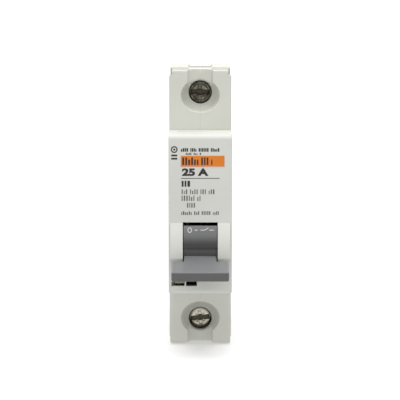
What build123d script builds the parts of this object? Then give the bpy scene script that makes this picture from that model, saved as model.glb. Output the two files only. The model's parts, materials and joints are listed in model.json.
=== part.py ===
from build123d import *
from math import cos, radians, sin
import os

# Single-pole circuit breaker, one 18 mm module, for a 35 mm rail. Millimetres.
# X is the module's width, -Y is the front with the toggle, +Y is the rail side, +Z is up.
# The origin is the centre of the bounding box on the plane of the lower end.

# ---- Case ----
MODULE_W = 18.0  # module pitch
HEIGHT = 81.0
Y_BACK = 35.0  # rear feet
Y_RAIL = 29.5  # face that rests on the rail
Y_SHOULDER = -9.0  # 44 mm in front of the back
Y_SPLIT = -14.0  # joint between the case and the front cover
Y_NOSE = -25.0  # 60 mm in front of the back
Y_TIP = -35.0  # toggle, 70 mm in front of the back
Z_MID = HEIGHT / 2
NOSE_H = 45.0
NOSE_Z0 = Z_MID - NOSE_H / 2
NOSE_Z1 = Z_MID + NOSE_H / 2
WALL = 1.6  # side walls
SKIN = 1.8  # walls round the edge
SEAM = 0.012  # half of the gap between the two case halves
LIP_DROP = 0.8  # the front lip at each end is this much lower than the end face
LIP_Y = -5.4
END_RELIEF = 0.2  # the last few millimetres of each side are this much narrower
END_RELIEF_H = 2.5
NOTCH_DEEP = 0.7  # latch notch in each side, just below the upper end
EDGE_R = 0.5

# ---- Terminals ----
SCREW_INSET = 7.2  # screw axis from each end
BOWL_R = 5.6  # half width of the bowl
BOWL_H = 4.83  # half height
BOWL_INSET = 8.05  # bowl centre from each end
BOWL_Y = -5.5  # floor of the bowl and of the channel
BORE_MOUTH = 0.28  # chamfer where the bore meets the bowl
CHANNEL_HALF = 3.6
BORE_R = 3.4
HEAD_R = 3.1
HEAD_Y = -4.3
HEAD_H = 2.6
LOWER_SLOT_ANGLE = -6.0  # how far each driver slot is turned at rest
UPPER_SLOT_ANGLE = 1.0
SHANK_R = 2.5
TIP_Y = 5.95
PLATE_Y0 = 6.0
PLATE_T = 1.5
PLATE_HALF = 3.4
CAGE_HALF = 5.2
CAGE_WINDOW = 3.7
CAGE_H = 8.4
CAGE_Y0 = 3.6
CAGE_Y1 = 16.0
CAGE_FRONT_T = 2.0
CAGE_REAR_T = 2.0
ENTRY_HALF = 3.6
ENTRY_Y0 = 7.8
ENTRY_Y1 = 13.6
GUIDE_HALF = 3.1  # shallow cable guide along each end face
GUIDE_FRONT = 0.6
GUIDE_REAR = 0.25

# ---- Front cover ----
COVER_HALF = 8.95
COVER_SKIN = 1.6
BULGE_RISE = 2.4  # how far the bulge stands in front of the nose
BULGE_MID = 29.5  # height of its foremost line
BULGE_H = 8.65  # from there up to where it meets the nose
BULGE_R = (BULGE_H**2 + BULGE_RISE**2) / (2 * BULGE_RISE)
BULGE_HALF = 8.4
BULGE_Z0 = 27.7
WINDOW_HALF = 4.9
WINDOW_Z0 = 25.2
WINDOW_Z1 = 38.3
SLOT_X0 = -8.1
SLOT_X1 = -0.95
SLOT_RIB_X0 = -4.4
SLOT_RIB_X1 = -4.0
SLOT_Z0 = 20.2
SLOT_Z1 = 21.5
LATCH_X0 = -6.2
LATCH_X1 = 2.6
LATCH_WIDE = 1.0
LATCH_NARROW = 0.5
LATCH_DEEP = 0.5
LABEL_X0 = -5.4
LABEL_X1 = 6.75
LABEL_Z0 = 54.0
LABEL_Z1 = 57.0
LABEL_T = 0.08

# ---- Toggle ----
AXIS_Y = -18.0
AXIS_Z = 32.0
DRUM_R = 8.8
DRUM_SHELL = 1.2
DRUM_LOW = -100.0
DRUM_HIGH = 37.5
DRUM_HALF = 4.68
NECK_HALF = 4.5
BAR_HALF = 8.0
HUB_R = 2.2
TOGGLE_PIN_R = 1.0
PIN_FIT = 0.04
CRANK_R = 3.4
CRANK_ANGLE = 118.0  # at rest, from +Y towards +Z

# ---- Contact arm and link ----
ARM_Y = 4.0
ARM_SWING = 22.0
ARM_DRIVE_R = 8.3
ARM_LEN = 16.0
ARM_HALF = 1.2
ARM_PIN_R = 1.0
LINK_X = 2.1
LINK_WIRE_R = 0.6
CRANK_Y = AXIS_Y + CRANK_R * cos(radians(CRANK_ANGLE))
CRANK_Z = AXIS_Z + CRANK_R * sin(radians(CRANK_ANGLE))
ARM_Z = CRANK_Z + ARM_DRIVE_R * cos(radians(ARM_SWING / 2))
DRIVE_Y = ARM_Y - ARM_DRIVE_R * sin(radians(ARM_SWING / 2))
DRIVE_Z = CRANK_Z

# ---- Magnetic and thermal release ----
COIL_Z = 53.0
COIL_Y0 = 8.0
COIL_Y1 = 22.0
COIL_WIRE_R = 0.75
COIL_R = 4.5
COIL_PITCH = 1.7
COIL_TURNS = 6
COIL_FRONT_Y = COIL_Y0 + 1.9
COIL_REAR_Y = COIL_FRONT_Y + COIL_TURNS * COIL_PITCH
TAB_Z = 63.5
TRIP_Y = -6.0
TRIP_Z = 27.0
TRIP_PIN_R = 0.8

# ---- Rail clip ----
CLIP_HALF = 4.2
RAIL_HALF = 17.5


def block(x0, x1, y0, y1, z0, z1):
    """Box between two corners."""
    return Pos((x0 + x1) / 2, (y0 + y1) / 2, (z0 + z1) / 2) * Box(x1 - x0, y1 - y0, z1 - z0)


def rod_x(y, z, r, x0, x1):
    """Cylinder along X."""
    return Pos((x0 + x1) / 2, y, z) * Rot(0, 90, 0) * Cylinder(r, x1 - x0)


def rod_y(x, z, r, y0, y1):
    """Cylinder along Y."""
    return Pos(x, (y0 + y1) / 2, z) * Rot(90, 0, 0) * Cylinder(r, y1 - y0)


def rod_z(x, y, r, z0, z1):
    """Cylinder along Z."""
    return Pos(x, y, (z0 + z1) / 2) * Cylinder(r, z1 - z0)


def side_plate(points, x0, x1):
    """Outline in the Y-Z plane, extruded from x0 to x1."""
    wire = Plane.YZ.offset(x0) * Polyline(*points, close=True)
    return extrude(make_face(wire), x1 - x0, dir=(1, 0, 0))


def polar(radius, angle):
    """Point about the toggle's axis; the angle runs from the front (-Y) upwards."""
    return (AXIS_Y - radius * cos(radians(angle)), AXIS_Z + radius * sin(radians(angle)))


def sector(radius, start, end, x0, x1):
    """Pie slice about the toggle's axis."""
    steps = 4
    reach = radius / cos(radians((end - start) / steps / 2)) * 1.02
    rim = [polar(reach, start + (end - start) * i / steps) for i in range(steps + 1)]
    wedge = side_plate([(AXIS_Y, AXIS_Z)] + rim, x0, x1)
    return wedge & rod_x(AXIS_Y, AXIS_Z, radius, x0, x1)


def flip_z(part):
    """The same part at the other end of the case."""
    return mirror(part, Plane.XY.offset(Z_MID))


def wire_along(points, radius, bend):
    """Round wire along straight runs joined by arcs."""
    corners = len(points) - 2
    path = FilletPolyline(*points, radius=[bend] * corners) if corners else Line(*points)
    start = Plane(origin=path @ 0, z_dir=path % 0)
    return sweep(start * Circle(radius), path=path)


def coil_spring(radius, wire_r, turns, pitch):
    """Helical spring about Z from z = 0."""
    path = Helix(pitch, pitch * turns, radius)
    start = Plane(origin=path @ 0, z_dir=path % 0)
    return sweep(start * Circle(wire_r), path=path, is_frenet=True)


# ---------------------------------------------------------------- case halves

RIVETS = [(-5.0, 64.4), (2.0, 18.8), (23.0, 66.0), (23.0, 9.0), (19.5, 33.0)]
RIVET_R = 1.5
RIVET_HEAD_R = 2.4
RIVET_HEAD_T = 0.45
POST_R = 2.7


def case_outline():
    """Side view of the case without the front cover."""
    hook_y = Y_RAIL + 1.4
    rail_top = Z_MID + RAIL_HALF + 0.4
    rail_low = Z_MID - RAIL_HALF - 0.4
    return [
        (Y_SHOULDER, LIP_DROP),
        (LIP_Y - 0.3, LIP_DROP),
        (LIP_Y, 0),
        (Y_RAIL, 0),
        (Y_RAIL, 10),
        (Y_BACK, 12.5),
        (Y_BACK, rail_low),
        (Y_RAIL, rail_low),
        (Y_RAIL, rail_top),
        (hook_y, rail_top),
        (hook_y, rail_top - 1.8),
        (hook_y + 2.4, rail_top - 1.0),
        (Y_BACK, rail_top + 1.2),
        (Y_BACK, 69),
        (Y_RAIL, 73.5),
        (Y_RAIL, HEIGHT),
        (LIP_Y, HEIGHT),
        (LIP_Y - 0.3, HEIGHT - LIP_DROP),
        (Y_SHOULDER, HEIGHT - LIP_DROP),
        (Y_SHOULDER, NOSE_Z1),
        (Y_SPLIT, NOSE_Z1),
        (Y_SPLIT, NOSE_Z0),
        (Y_SHOULDER, NOSE_Z0),
    ]


def cavity_outline():
    """Side view of the space inside the case; the block behind each screw bowl stays solid."""
    inner_y = Y_SHOULDER + SKIN
    block_y = BOWL_Y + SKIN
    block_h = SCREW_INSET + BOWL_R + 0.9
    return [
        (block_y, SKIN),
        (Y_RAIL - SKIN, SKIN),
        (Y_RAIL - SKIN, HEIGHT - SKIN),
        (block_y, HEIGHT - SKIN),
        (block_y, HEIGHT - block_h),
        (inner_y, HEIGHT - block_h),
        (inner_y, NOSE_Z1 - COVER_SKIN),
        (Y_SPLIT - 1, NOSE_Z1 - COVER_SKIN),
        (Y_SPLIT - 1, NOSE_Z0 + COVER_SKIN),
        (inner_y, NOSE_Z0 + COVER_SKIN),
        (inner_y, block_h),
        (block_y, block_h),
    ]


def screw_bowl():
    """Round bowl round the lower screw, its bore, and the open channel that runs to the end face."""
    front = Y_SHOULDER - 0.5
    outline = [
        Line((0, front), (BOWL_R + 0.15, front)),
        Line((BOWL_R + 0.15, front), (BOWL_R + 0.15, Y_SHOULDER)),
        Line((BOWL_R + 0.15, Y_SHOULDER), (BOWL_R, Y_SHOULDER + 0.15)),
        ThreePointArc((BOWL_R, Y_SHOULDER + 0.15), (BOWL_R - 0.75, BOWL_Y - 1.25), (BORE_R + 0.15, BOWL_Y)),
        Line((BORE_R + 0.15, BOWL_Y), (0, BOWL_Y)),
        Line((0, BOWL_Y), (0, front)),
    ]
    bowl = revolve(make_face(Curve() + outline), Axis((0, 0, 0), (0, 1, 0)), 360)
    bowl = Pos(0, 0, BOWL_INSET) * scale(bowl, by=(1, 1, BOWL_H / BOWL_R))
    bore = rod_y(0, SCREW_INSET, BORE_R, BOWL_Y - 1.0, 0)
    mouth_h = BORE_MOUTH + 0.2
    mouth = Cone(BORE_R, BORE_R + mouth_h, mouth_h)
    bore += Pos(0, BOWL_Y + BORE_MOUTH - mouth_h / 2, SCREW_INSET) * Rot(90, 0, 0) * mouth
    corner = 1.7
    flare = 0.35
    half = [
        Line((0, front), (CHANNEL_HALF + flare, front)),
        Line((CHANNEL_HALF + flare, front), (CHANNEL_HALF + flare, Y_SHOULDER)),
        ThreePointArc(
            (CHANNEL_HALF + flare, Y_SHOULDER),
            (CHANNEL_HALF + flare * 0.29, Y_SHOULDER + flare * 0.29),
            (CHANNEL_HALF, Y_SHOULDER + flare),
        ),
        Line((CHANNEL_HALF, Y_SHOULDER + flare), (CHANNEL_HALF, BOWL_Y - corner)),
        ThreePointArc(
            (CHANNEL_HALF, BOWL_Y - corner),
            (CHANNEL_HALF - corner * 0.293, BOWL_Y - corner * 0.293),
            (CHANNEL_HALF - corner, BOWL_Y),
        ),
        Line((CHANNEL_HALF - corner, BOWL_Y), (0, BOWL_Y)),
        Line((0, BOWL_Y), (0, front)),
    ]
    channel = extrude(make_face(Curve() + half), SCREW_INSET + 1, dir=(0, 0, 1))
    channel = Pos(0, 0, -1) * channel
    channel += mirror(channel, Plane.YZ)
    return bowl + bore + channel


def cable_guide():
    """Shallow groove along the lower end face, from the channel to the back."""
    front = LIP_Y - 0.3
    middle = side_plate(
        [(front, -1), (front, GUIDE_FRONT), (Y_RAIL + 1, GUIDE_REAR), (Y_RAIL + 1, -1)], -1, GUIDE_HALF
    )
    edge = Polyline(
        (GUIDE_HALF - 0.01, front, -0.01),
        (GUIDE_HALF + GUIDE_FRONT, front, -0.01),
        (GUIDE_HALF - 0.01, front, GUIDE_FRONT),
        close=True,
    )
    rear = Polyline(
        (GUIDE_HALF - 0.01, Y_RAIL + 1, -0.01),
        (GUIDE_HALF + GUIDE_REAR, Y_RAIL + 1, -0.01),
        (GUIDE_HALF - 0.01, Y_RAIL + 1, GUIDE_REAR),
        close=True,
    )
    return middle + loft([make_face(edge), make_face(rear)])


def side_recess():
    """Shallow field in the outside of the half, and two blind pockets for add-on modules."""
    half_w = MODULE_W / 2
    field = block(half_w - 0.2, half_w + 1, -6.4, 26.4, 24.0, 60.4)
    field = fillet(field.edges().filter_by(Axis.X), 1.6)
    for y, z in ((-2.4, 46.0), (9.5, 54.0)):
        pocket = block(half_w - 0.8, half_w + 1, y - 1.7, y + 1.7, z - 2.6, z + 2.6)
        field += fillet(pocket.edges().filter_by(Axis.X), 0.5)
    return field


def case_half():
    """The half of the case on the +X side."""
    half_w = MODULE_W / 2
    body = side_plate(case_outline(), SEAM, half_w)
    upright = body.edges().filter_by(Axis.Z)
    front_edges = upright.filter_by_position(Axis.Y, Y_SHOULDER - 0.01, Y_SHOULDER + 0.01)
    body = fillet(front_edges.filter_by_position(Axis.X, half_w - 0.01, half_w + 0.01), EDGE_R)
    lip = body.edges().filter_by(Axis.X).filter_by_position(Axis.Y, Y_SHOULDER - 0.01, Y_SHOULDER + 0.01)
    lip = lip.filter_by_position(Axis.Z, 0, 2) + lip.filter_by_position(Axis.Z, HEIGHT - 2, HEIGHT)
    body = fillet(lip, EDGE_R * 0.8)
    body -= side_plate(cavity_outline(), -1, half_w - WALL)
    cutter = screw_bowl()
    collar = rod_y(0, SCREW_INSET, BORE_R + 1.0, BOWL_Y + SKIN - 0.2, -1.9)
    collar = collar & block(SEAM, half_w, -10, 0, 0, 20)
    body += collar + flip_z(collar)
    body -= cutter + flip_z(cutter)
    relief = block(half_w - END_RELIEF, half_w + 1, Y_SHOULDER - 1, Y_RAIL + 1, -1, END_RELIEF_H)
    notch = block(half_w - END_RELIEF - NOTCH_DEEP, half_w, Y_SHOULDER - 1, 4.0, HEIGHT - 2.3, HEIGHT - 0.4)
    body -= relief + flip_z(relief) + notch
    guide = cable_guide()
    body -= guide + flip_z(guide)
    body -= side_recess()
    entry = block(-ENTRY_HALF, ENTRY_HALF, ENTRY_Y0, ENTRY_Y1, -1, SKIN + 1)
    body -= entry + flip_z(entry)
    for index in range(3):
        y = 19.5 + 2.4 * index
        body -= block(1.5, 6.0, y, y + 1.1, -1, SKIN + 1)
    slide = block(-1, CLIP_HALF + 0.3, Y_RAIL - 0.9, Y_BACK + 1, -1, Z_MID - RAIL_HALF + 0.2)
    rail = block(-1, CLIP_HALF + 1.3, Y_RAIL - 0.9, Y_RAIL + 1.9, -1, Z_MID - RAIL_HALF + 0.2)
    body -= slide + rail
    outline = [(-9.5, 22), (-9.5, 42), (-15, 38), (-20.5, 35), (-22, 32), (-20.5, 29), (-15, 26)]
    ear = side_plate(outline, 6.2, 7.3)
    web = block(6.2, half_w - WALL + 0.2, -13.2, -7.3, 22.5, 41.5)
    body += ear + web
    body -= rod_x(AXIS_Y, AXIS_Z, TOGGLE_PIN_R + PIN_FIT, 5, 7.4)
    for y, z in RIVETS:
        body += rod_x(y, z, POST_R, SEAM, half_w - 0.8)
        body -= rod_x(y, z, RIVET_R + 0.05, -1, half_w + 1)
        body -= rod_x(y, z, RIVET_HEAD_R + 0.1, half_w - RIVET_HEAD_T - 0.05, half_w + 1)
    arm_post = rod_x(ARM_Y, ARM_Z, 2.4, 2.6, half_w - 0.8)
    body += arm_post
    body -= rod_x(ARM_Y, ARM_Z, ARM_PIN_R + PIN_FIT, -1, 7.0)
    return body


def rivets():
    """Tubular rivets that clamp the two halves together."""
    end = MODULE_W / 2
    group = []
    for y, z in RIVETS:
        rivet = rod_x(y, z, RIVET_R, -end + 0.1, end - 0.1)
        rivet += rod_x(y, z, RIVET_HEAD_R, end - RIVET_HEAD_T, end - 0.02)
        rivet += rod_x(y, z, RIVET_HEAD_R, -end + 0.02, -end + RIVET_HEAD_T)
        rivet -= rod_x(y, z, 0.8, -end - 1, end + 1)
        group.append(rivet)
    return group


def rating_label():
    """Orange adhesive strip on the front face."""
    return block(LABEL_X0, LABEL_X1, Y_NOSE - LABEL_T, Y_NOSE, LABEL_Z0, LABEL_Z1)


def front_cover():
    """Seamless nose with the toggle window, the bulge round it and the slot below it."""
    body = block(-COVER_HALF, COVER_HALF, Y_NOSE, Y_SPLIT - 0.05, NOSE_Z0, NOSE_Z1)
    long_edges = body.edges().filter_by(Axis.X).group_by(Axis.Y)[0].sort_by(Axis.Z)
    body = fillet(long_edges[1], 1.5)
    long_edges = body.edges().filter_by(Axis.X).group_by(Axis.Y)[0].sort_by(Axis.Z)
    body = fillet(long_edges[0], 1.2)
    sides = body.edges().filter_by(Axis.Z).group_by(Axis.Y)[0]
    body = fillet(sides, 0.35)
    inner = COVER_HALF - COVER_SKIN
    body -= block(
        -inner, inner, Y_NOSE + COVER_SKIN, Y_SPLIT + 1, NOSE_Z0 + COVER_SKIN, NOSE_Z1 - COVER_SKIN
    )
    bulge = rod_x(Y_NOSE - BULGE_RISE + BULGE_R, BULGE_MID, BULGE_R, -BULGE_HALF, BULGE_HALF)
    bulge = bulge & block(-9, 9, Y_NOSE - 5, Y_NOSE + 0.2, BULGE_Z0, 50)
    lower = bulge.edges().filter_by(Axis.X).group_by(Axis.Z)[0].sort_by(Axis.Y)[0]
    bulge = fillet(lower, 0.8)
    body += bulge
    body -= block(-WINDOW_HALF, WINDOW_HALF, Y_NOSE - 5, Y_SPLIT, WINDOW_Z0, WINDOW_Z1)
    body -= rod_x(AXIS_Y, AXIS_Z, DRUM_R + 0.35, -WINDOW_HALF, WINDOW_HALF)
    body -= block(SLOT_X0, SLOT_RIB_X0, Y_NOSE - 1, Y_NOSE + COVER_SKIN + 1, SLOT_Z0, SLOT_Z1)
    body -= block(SLOT_RIB_X1, SLOT_X1, Y_NOSE - 1, Y_NOSE + COVER_SKIN + 1, SLOT_Z0, SLOT_Z1)
    latch = Polyline(
        (LATCH_X0, Y_SPLIT),
        (LATCH_X0, Y_SPLIT - LATCH_WIDE),
        (LATCH_X1, Y_SPLIT - LATCH_NARROW),
        (LATCH_X1, Y_SPLIT),
        close=True,
    )
    body -= Pos(0, 0, NOSE_Z1 - LATCH_DEEP) * extrude(make_face(latch), 2, dir=(0, 0, 1))
    return body


# ---------------------------------------------------------------- toggle

def toggle_handle():
    """Drum, hub and T-shaped handle, in the OFF position with the handle down."""
    shell = sector(DRUM_R, DRUM_LOW, DRUM_HIGH, -DRUM_HALF, DRUM_HALF)
    shell -= rod_x(AXIS_Y, AXIS_Z, DRUM_R - DRUM_SHELL, -DRUM_HALF - 1, DRUM_HALF + 1)
    web = sector(DRUM_R - 0.4, DRUM_LOW, DRUM_HIGH, 3.2, NECK_HALF)
    body = shell + web + mirror(web, Plane.YZ)
    hub = rod_x(AXIS_Y, AXIS_Z, HUB_R, -6.0, 6.0)
    crank = rod_x(CRANK_Y, CRANK_Z, 1.5, -ARM_HALF, ARM_HALF)
    body += hub + crank
    neck_top = (-26.5, 28.65)
    top_tip = (Y_TIP - 0.135, 25.7)
    top_rear = (-29.0, 27.8)
    low_tip = (-33.7, 22.9)
    low_rear = (-28.2, 24.5)
    neck_low = (-26.9, 24.9)
    neck = side_plate(
        [polar(DRUM_R - 0.5, -18), neck_top, top_tip, low_tip, neck_low, polar(DRUM_R - 0.5, -38)],
        -NECK_HALF,
        NECK_HALF,
    )
    bar = side_plate([top_rear, top_tip, low_tip, low_rear], -BAR_HALF, BAR_HALF)
    ends = bar.edges().filter_by_position(Axis.X, -BAR_HALF - 0.01, -BAR_HALF + 0.01)
    ends += bar.edges().filter_by_position(Axis.X, BAR_HALF - 0.01, BAR_HALF + 0.01)
    bar = fillet(ends, 0.5)
    body += neck + bar
    ridges = body.edges().filter_by(Axis.X).filter_by_position(Axis.Y, Y_TIP - 1, -33.0)
    body = fillet(ridges, 0.35)
    groove = side_plate([polar(DRUM_R + 1, -4), polar(DRUM_R - 0.25, -4.5), polar(DRUM_R + 1, -7)], -6, 6)
    body -= groove
    body -= rod_x(AXIS_Y, AXIS_Z, TOGGLE_PIN_R + PIN_FIT, -7, 7)
    body -= rod_x(CRANK_Y, CRANK_Z, LINK_WIRE_R + PIN_FIT, -2, 2)
    return body


def drive_link():
    """Wire link: a crossbar in the contact arm, two legs, and two inturned ends in the toggle's crank."""
    bar = rod_x(DRIVE_Y, DRIVE_Z, LINK_WIRE_R, -LINK_X - LINK_WIRE_R, LINK_X + LINK_WIRE_R)
    link = bar
    for side in (-1, 1):
        link += rod_y(side * LINK_X, CRANK_Z, LINK_WIRE_R, CRANK_Y, DRIVE_Y)
        inner = side * 0.25
        outer = side * (LINK_X + LINK_WIRE_R)
        link += rod_x(CRANK_Y, CRANK_Z, LINK_WIRE_R, min(inner, outer), max(inner, outer))
    return link


# ---------------------------------------------------------------- contacts

def arm_point(radius, across=0.0):
    """Point on the contact arm at rest: distance below its pivot, and offset towards the rear."""
    tilt = radians(ARM_SWING / 2)
    return (
        ARM_Y - radius * sin(tilt) + across * cos(tilt),
        ARM_Z - radius * cos(tilt) - across * sin(tilt),
    )


def contact_arm():
    """Moving contact arm, open at rest, with a long hole for the link's crossbar."""
    outline = [
        arm_point(-1.5, -1.6),
        arm_point(-1.5, 1.6),
        arm_point(ARM_LEN + 1.5, 1.1),
        arm_point(ARM_LEN + 1.5, -1.1),
    ]
    arm = side_plate(outline, -ARM_HALF, ARM_HALF)
    arm += rod_x(ARM_Y, ARM_Z, 2.3, -ARM_HALF, ARM_HALF)
    low = arm_point(ARM_DRIVE_R + 0.4)
    high = arm_point(ARM_DRIVE_R - 0.9)
    arm += rod_x(*arm_point(ARM_DRIVE_R), 2.5, -ARM_HALF, ARM_HALF)
    slot_r = LINK_WIRE_R + 0.3
    for y, z in (low, high):
        arm -= rod_x(y, z, slot_r, -2, 2)
    arm -= side_plate(
        [
            arm_point(ARM_DRIVE_R + 0.4, -slot_r),
            arm_point(ARM_DRIVE_R + 0.4, slot_r),
            arm_point(ARM_DRIVE_R - 0.9, slot_r),
            arm_point(ARM_DRIVE_R - 0.9, -slot_r),
        ],
        -2,
        2,
    )
    arm -= rod_x(ARM_Y, ARM_Z, ARM_PIN_R + PIN_FIT, -2, 2)
    return arm


def moving_contact_tip():
    """Silver contact on the rear face of the arm."""
    return side_plate(
        [
            arm_point(ARM_LEN - 1.5, 1.2),
            arm_point(ARM_LEN - 1.5, 2.0),
            arm_point(ARM_LEN + 1.0, 2.0),
            arm_point(ARM_LEN + 1.0, 1.2),
        ],
        -1.6,
        1.6,
    )


FIXED_FACE_Y = 9.55
FIXED_BAR_Y = 10.5
FIXED_BAR_T = 1.5
RUNNER_Z = 24.9


def fixed_contact_bar():
    """Copper bar from the coil down to the fixed contact."""
    vertical = block(-2.5, 2.5, FIXED_BAR_Y, FIXED_BAR_Y + FIXED_BAR_T, RUNNER_Z, 41.5)
    leg = block(-2.5, 2.5, FIXED_BAR_Y, COIL_REAR_Y + 1.2, 40.0, 41.5)
    tab = block(2.4, COIL_R + 1.0, COIL_REAR_Y - 1.2, COIL_REAR_Y + 1.2, 40.0, 41.5)
    return vertical + leg + tab


def fixed_contact_tip():
    """Silver contact on the front face of the fixed bar."""
    tip_z = ARM_Z - ARM_LEN * cos(radians(ARM_SWING / 2))
    return block(-1.7, 1.7, FIXED_FACE_Y, FIXED_BAR_Y, tip_z - 1.8, tip_z + 1.4)


CHUTE_Y0 = 13.5
CHUTE_Y1 = 26.5
CHUTE_Z0 = 16.1
PLATE_PITCH = 1.4
SPLITTERS = 7


def arc_plates():
    """Steel splitter plates, each with a V notch at its mouth."""
    plates = []
    for index in range(SPLITTERS):
        z = CHUTE_Z0 + PLATE_PITCH * index
        plate = block(-6.0, 6.0, CHUTE_Y0, CHUTE_Y1, z, z + 0.6)
        mouth = Polyline(
            (-2.5, CHUTE_Y0 - 0.1, z - 1), (2.5, CHUTE_Y0 - 0.1, z - 1), (0, 18.0, z - 1), close=True
        )
        plates.append(plate - extrude(make_face(mouth), 3, dir=(0, 0, 1)))
    return plates


def arc_cheeks():
    """Two fibre cheeks that hold the splitter plates."""
    top = CHUTE_Z0 + PLATE_PITCH * SPLITTERS - 0.4
    return [
        block(side * 6.6 - 0.55, side * 6.6 + 0.55, CHUTE_Y0 - 1, CHUTE_Y1 + 0.5, CHUTE_Z0 - 0.4, top)
        for side in (-1, 1)
    ]


def upper_runner():
    """Arc runner from the fixed contact, over the chute."""
    return block(-3, 3, FIXED_BAR_Y + FIXED_BAR_T, CHUTE_Y1, RUNNER_Z + 0.6, RUNNER_Z + 1.6)


LOWER_LEG_Z = 14.0


def lower_runner():
    """Arc runner under the chute, fixed to the lower terminal plate."""
    return block(-3, 3, PLATE_Y0 + PLATE_T, CHUTE_Y1, LOWER_LEG_Z + 0.7, LOWER_LEG_Z + PLATE_T)


# ---------------------------------------------------------------- release

def coil_winding():
    """Thick copper winding about the Y axis; its ends run to the terminal and the fixed contact."""
    coil = Rot(-90, 0, 0) * coil_spring(COIL_R, COIL_WIRE_R, COIL_TURNS, COIL_PITCH)
    coil = Pos(0, COIL_FRONT_Y, COIL_Z) * coil
    up = wire_along(
        [
            (COIL_R, COIL_FRONT_Y, COIL_Z),
            (COIL_R, COIL_FRONT_Y, TAB_Z),
            (COIL_R, PLATE_Y0 + PLATE_T, TAB_Z),
        ],
        COIL_WIRE_R,
        1.1,
    )
    down = rod_z(COIL_R, COIL_REAR_Y, COIL_WIRE_R, 41.5, COIL_Z)
    return coil + up + down


def bobbin():
    """Plastic former of the coil."""
    tube = rod_y(0, COIL_Z, 3.4, COIL_Y0, COIL_Y1 + 0.6)
    tube += rod_y(0, COIL_Z, 6.0, COIL_Y0, COIL_Y0 + 0.9)
    tube += rod_y(0, COIL_Z, 6.0, COIL_Y1 - 0.3, COIL_Y1 + 0.6)
    return tube - rod_y(0, COIL_Z, 2.6, COIL_Y0 - 1, COIL_Y1 + 2)


def magnet_yoke():
    """Steel bracket round the coil."""
    front = block(-3.6, 3.6, COIL_Y0 - 1.3, COIL_Y0, COIL_Z - 6.2, COIL_Z + 7.7)
    back = block(-3.6, 3.6, COIL_Y1 + 0.6, COIL_Y1 + 1.9, COIL_Z - 6.2, COIL_Z + 7.7)
    top = block(-3.6, 3.6, COIL_Y0 - 1.3, COIL_Y1 + 1.9, COIL_Z + 6.4, COIL_Z + 7.7)
    return front + back + top - rod_y(0, COIL_Z, 1.0, 0, 30)


def fixed_core():
    """Fixed pole in the front of the coil, bored for the striker."""
    return rod_y(0, COIL_Z, 2.55, COIL_Y0, 13.0) - rod_y(0, COIL_Z, 1.0, 0, 20)


def plunger():
    """Iron plunger with its striker."""
    return rod_y(0, COIL_Z, 2.3, 16.5, 21.9) + rod_y(0, COIL_Z, 0.7, -4.6, 17.0)


def plunger_spring():
    """Compression spring between the fixed core and the plunger."""
    spring = Rot(-90, 0, 0) * coil_spring(1.45, 0.13, 4, 0.78)
    return Pos(0, 13.2, COIL_Z) * spring


def trip_lever():
    """Release lever on the -X side: striker pad at the top, foot at the slot below the toggle."""
    x0 = -5.9
    x1 = -4.3
    arm = side_plate([(-7.2, 24.5), (-4.8, 24.5), (-4.8, 55), (-7.2, 55)], x0, x1)
    arm += block(x0, 1.6, -7.2, -4.8, 51.2, 54.8)
    arm += rod_x(TRIP_Y, TRIP_Z, 2.1, x0, x1)
    arm += side_plate([(-7.2, 24.6), (-4.8, 24.6), (-5.6, 21.1), (-8.0, 21.1)], x0, x1)
    arm += block(x0, x1, -21.0, -5.6, 21.0, 22.0)
    arm += block(-7.15, -4.5, -23.2, -20.4, 20.7, 21.9)
    return arm - rod_x(TRIP_Y, TRIP_Z, TRIP_PIN_R + PIN_FIT, x0 - 1, x1 + 1)


def bimetal_strip():
    """Bimetal strip that stands on the lower terminal plate and leans on the release lever when hot."""
    return block(-7.0, -3.2, -3.7, -2.9, LOWER_LEG_Z + PLATE_T, 42.0)


def flexible_braid():
    """Copper braid from the bimetal to the contact arm."""
    y, z = arm_point(3.6, -1.9)
    return wire_along(
        [(-3.2, -3.3, 40.6), (-0.8, -3.3, 40.6), (0.3, -1.6, 39.4), (0.3, y - 0.1, z)],
        0.7,
        0.5,
    )


def lower_plate():
    """Terminal plate of the lower clamp, with a leg forward under the bimetal."""
    plate = block(-PLATE_HALF, PLATE_HALF, PLATE_Y0, PLATE_Y0 + PLATE_T, 2.4, LOWER_LEG_Z + PLATE_T)
    leg = block(-7.0, PLATE_HALF, -6.9, PLATE_Y0 + PLATE_T, LOWER_LEG_Z, LOWER_LEG_Z + PLATE_T)
    return plate + leg - rod_z(3.0 - 1.2, -5.2, 1.0, 10, 16)


def calibration_screw():
    """Small slotted screw that sets the release."""
    screw = rod_z(1.8, -5.2, 0.97, LOWER_LEG_Z - 0.2, 17.5)
    return screw - block(0.5, 3.1, -5.4, -5.0, 17.0, 18.0)


def upper_plate():
    """Terminal plate of the upper clamp, with a tab for the coil lead."""
    plate = block(-PLATE_HALF, PLATE_HALF, PLATE_Y0, PLATE_Y0 + PLATE_T, 62.6, HEIGHT - 2.4)
    return plate + block(2.4, 5.6, PLATE_Y0, PLATE_Y0 + PLATE_T, 62.6, 64.4)


# ---------------------------------------------------------------- clamps and clip

def terminal_screw(slot_angle):
    """Lower terminal screw with a domed slot-and-cross head."""
    head = rod_y(0, SCREW_INSET, HEAD_R, HEAD_Y, HEAD_Y + HEAD_H)
    rim = head.edges().filter_by(GeomType.CIRCLE).group_by(Axis.Y)[0]
    head = fillet(rim, 0.7)
    shank = rod_y(0, SCREW_INSET, SHANK_R, HEAD_Y + HEAD_H, TIP_Y)
    shank = chamfer(shank.edges().filter_by(GeomType.CIRCLE).group_by(Axis.Y)[-1], 0.4)
    slot = block(-2.65, 2.65, HEAD_Y - 1, HEAD_Y + 1.3, -0.62, 0.62)
    cross = block(-0.55, 0.55, HEAD_Y - 1, HEAD_Y + 1.3, -1.9, 1.9)
    recess = Pos(0, 0, SCREW_INSET) * Rot(0, slot_angle, 0) * (slot + cross)
    return head + shank - recess


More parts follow.
